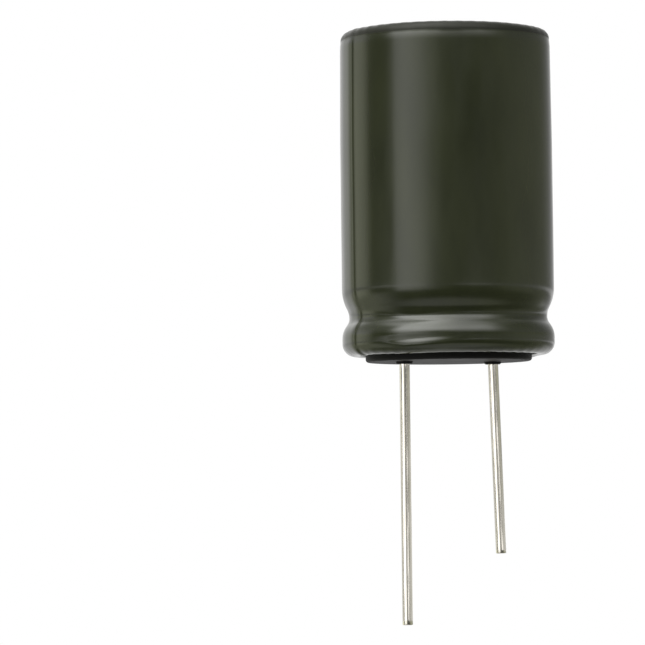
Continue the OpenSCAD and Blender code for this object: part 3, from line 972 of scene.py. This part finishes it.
class CAPACITOR_OT_stage(bpy.types.Operator):
    """Makes the camera, the white floor and the soft studio light"""
    bl_idname = "capacitor.stage"
    bl_label = "Stage"

    def execute(self, context):
        studio = context.scene.capacitor.studio
        context.scene.view_settings.view_transform = "Standard"
        make_camera(studio)
        make_world(studio)
        make_floor(studio)
        add_softbox("key_softbox", studio, bearing=-42, elevation=58, distance=0.5,
                    width=0.34, height=0.3, radiance=5.5, colour="#FFFDF8")
        add_softbox("fill_softbox", studio, bearing=22, elevation=62, distance=0.55,
                    width=0.3, height=0.26, radiance=2.2, colour="#F6F9FF")
        return {"FINISHED"}


class CAPACITOR_OT_sleeve(bpy.types.Operator):
    """Makes the shrunk sleeve with its fold lines, waves and puckered edges"""
    bl_idname = "capacitor.sleeve"
    bl_label = "Sleeve"

    def execute(self, context):
        settings = context.scene.capacitor
        sizes = settings.sleeve
        piece = add_object("shrunk_sleeve", film_mesh(sizes))
        apply_tree(piece, shrink_tree(), {
            "Wave height": sizes.waviness, "Wave length": sizes.wave_length,
            "Pucker height": sizes.pucker, "Pucker count": float(sizes.pucker_count),
            "Rim start": SLEEVE_HIGH.z - sizes.rim_reach, "Rim end": SLEEVE_HIGH.z,
            "Lip start": SLEEVE_LOW.z + sizes.lip_reach, "Lip end": SLEEVE_LOW.z,
            "Seed": float(sizes.seed), "Material": shrunk_film(settings.colours)})
        shade_smooth(piece, sharp_from=50)
        place_piece(piece, "sleeve", "sleeve")
        return {"FINISHED"}


class CAPACITOR_OT_case(bpy.types.Operator):
    """Finishes the can and the bung"""
    bl_idname = "capacitor.case"
    bl_label = "Can and bung"

    def execute(self, context):
        colours = context.scene.capacitor.colours
        can = smooth_copy("can", "drawn_can", drawn_aluminium(colours), sharp_from=30)
        place_piece(can, "can", "can")
        bung = smooth_copy("bung", "rubber_bung", moulded_rubber(colours), sharp_from=35)
        place_piece(bung, "bung", "bung")
        return {"FINISHED"}


class CAPACITOR_OT_leads(bpy.types.Operator):
    """Makes the two tinned wire leads"""
    bl_idname = "capacitor.leads"
    bl_label = "Leads"

    def execute(self, context):
        settings = context.scene.capacitor
        sizes = settings.leads
        tin = tinned_wire(settings.colours)
        tree = wire_tree()
        side = sizes.pitch / 2
        make_wire("positive_lead_wire", "positive_wire",
                  wire_line(sizes, -side, POSITIVE_LOW.z, 0.0), tin, tree, sizes.sides)
        make_wire("negative_lead_wire", "negative_wire",
                  wire_line(sizes, side, NEGATIVE_LOW.z, sizes.lean), tin, tree, sizes.sides)
        return {"FINISHED"}


class CAPACITOR_OT_winding(bpy.types.Operator):
    """Finishes the terminals, foils, papers and tape inside the can"""
    bl_idname = "capacitor.winding"
    bl_label = "Winding"

    def execute(self, context):
        colours = context.scene.capacitor.colours
        pressed = pressed_aluminium(colours)
        paper = soaked_paper(colours)
        finishes = {
            "positive_terminal": pressed,
            "negative_terminal": pressed,
            "anode_foil": etched_foil("etched_anode_foil", colours.anode),
            "cathode_foil": etched_foil("etched_cathode_foil", colours.cathode),
            "inner_separator": paper,
            "outer_separator": paper,
            "closing_tape": closing_film(colours),
        }
        for node, material in finishes.items():
            dress_node(node, material)
        return {"FINISHED"}


class CAPACITOR_PT_panel(bpy.types.Panel):
    """Buttons for each group of pieces"""
    bl_idname = "CAPACITOR_PT_panel"
    bl_label = "Radial capacitor"
    bl_space_type = "VIEW_3D"
    bl_region_type = "UI"
    bl_category = "Capacitor"

    def draw(self, context):
        for operator in OPERATORS:
            self.layout.operator(operator.bl_idname)


OPERATORS = (CAPACITOR_OT_stage, CAPACITOR_OT_case, CAPACITOR_OT_sleeve, CAPACITOR_OT_leads,
             CAPACITOR_OT_winding)
CLASSES = (SleeveSizes, LeadSizes, StudioSettings, FinishColours, CapacitorSettings,
           *OPERATORS, CAPACITOR_PT_panel)


def register():
    for entry in CLASSES:
        bpy.utils.register_class(entry)
    bpy.types.Scene.capacitor = bpy.props.PointerProperty(type=CapacitorSettings)


def unregister():
    del bpy.types.Scene.capacitor
    for entry in reversed(CLASSES):
        bpy.utils.unregister_class(entry)


def main():
    register()
    bpy.ops.capacitor.stage()
    bpy.ops.capacitor.case()
    bpy.ops.capacitor.sleeve()
    bpy.ops.capacitor.leads()
    bpy.ops.capacitor.winding()


if __name__ == "__main__":
    main()
